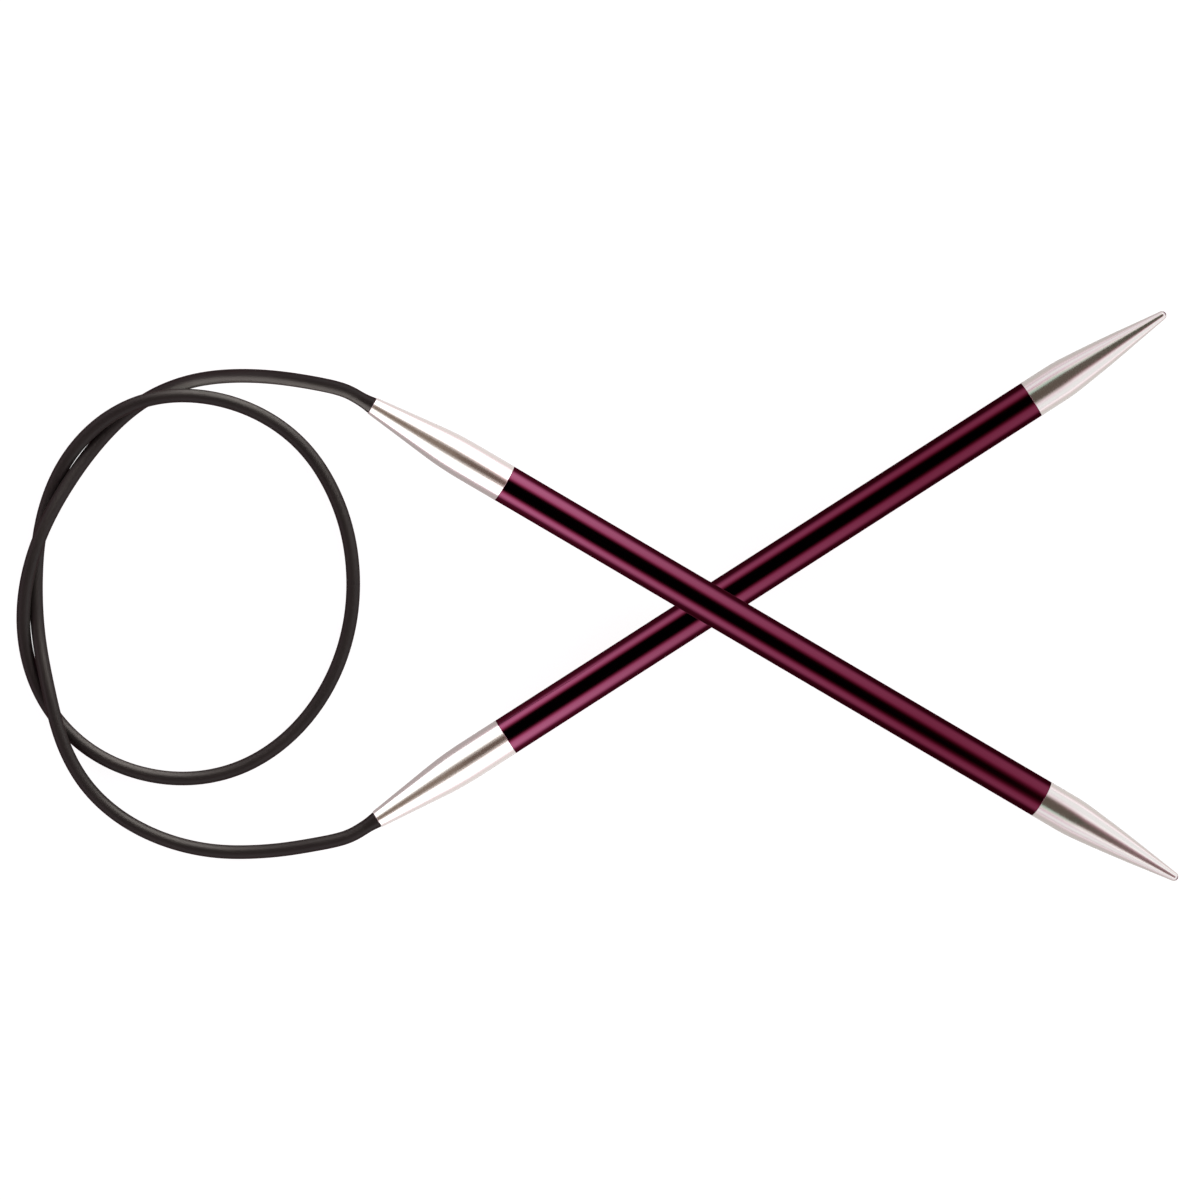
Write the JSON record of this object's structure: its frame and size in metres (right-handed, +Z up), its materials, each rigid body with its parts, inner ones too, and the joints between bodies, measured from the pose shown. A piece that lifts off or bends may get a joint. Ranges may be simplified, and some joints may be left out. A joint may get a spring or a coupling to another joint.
{
  "type": "circular knitting needle",
  "caption": "Fixed circular knitting needle: tapered needles with coloured shafts and silver points, joined by a thin flexible cable that turns freely in each ferrule.",
  "frame": {"origin": "on the surface that everything lies on, in the middle of the box round the two needles seen from above", "axes": "+X from the cable towards the points, +Y across, from needle B's mouth towards needle A's mouth, +Z up from the surface"},
  "size_m": [0.1806, 0.0885, 0.0165],
  "materials": {
    "silver_metal": "polished, silver plated",
    "purple_anodised": "anodised purple, glossy",
    "swivel_steel": "turned",
    "strand_steel": "stranded wire, hidden inside the jacket",
    "cable_plastic": "black-brown, smooth satin",
    "sleeve_plastic": "black, smooth"
  },
  "bodies": {
    "cable": {"cable_jacket": "cable_plastic", "cable_core": "strand_steel", "flex_jacket_a": "cable_plastic", "flex_core_a": "strand_steel", "flex_jacket_b": "cable_plastic", "flex_core_b": "strand_steel"},
    "cable_end_a": {"swivel_pin_a": "swivel_steel", "end_sleeve_a": "sleeve_plastic"},
    "cable_end_b": {"swivel_pin_b": "swivel_steel", "end_sleeve_b": "sleeve_plastic"},
    "needle_a": {"point_a": "silver_metal", "shaft_a": "purple_anodised", "ferrule_a": "silver_metal"},
    "needle_b": {"point_b": "silver_metal", "shaft_b": "purple_anodised", "ferrule_b": "silver_metal"}
  },
  "joints": [
    {"name": "bend_a", "type": "hinge", "parent": "cable", "child": "cable_end_a", "pos_m": [-0.0772, 0.0338, 0.0131], "axis": [0.0569, -0.0886, 0.9944], "range_deg": [0, 90], "stiffness_Nm_per_rad": 0.015, "deforming": ["flex_jacket_a", "flex_core_a"]},
    {"name": "bend_b", "type": "hinge", "parent": "cable", "child": "cable_end_b", "pos_m": [-0.0791, -0.0395, 0.0017], "axis": [0, 0, 1], "range_deg": [0, 30], "stiffness_Nm_per_rad": 0.015, "deforming": ["flex_jacket_b", "flex_core_b"]},
    {"name": "swivel_a", "type": "hinge", "parent": "cable_end_a", "child": "needle_a", "pos_m": [-0.06224, 0.02943, 0.01487], "axis": [0.8587, -0.5038, -0.094], "continuous": true},
    {"name": "swivel_b", "type": "hinge", "parent": "cable_end_b", "child": "needle_b", "pos_m": [-0.0617, -0.03458, 0.003], "axis": [0.8415, 0.5402, 0], "continuous": true}
  ]
}
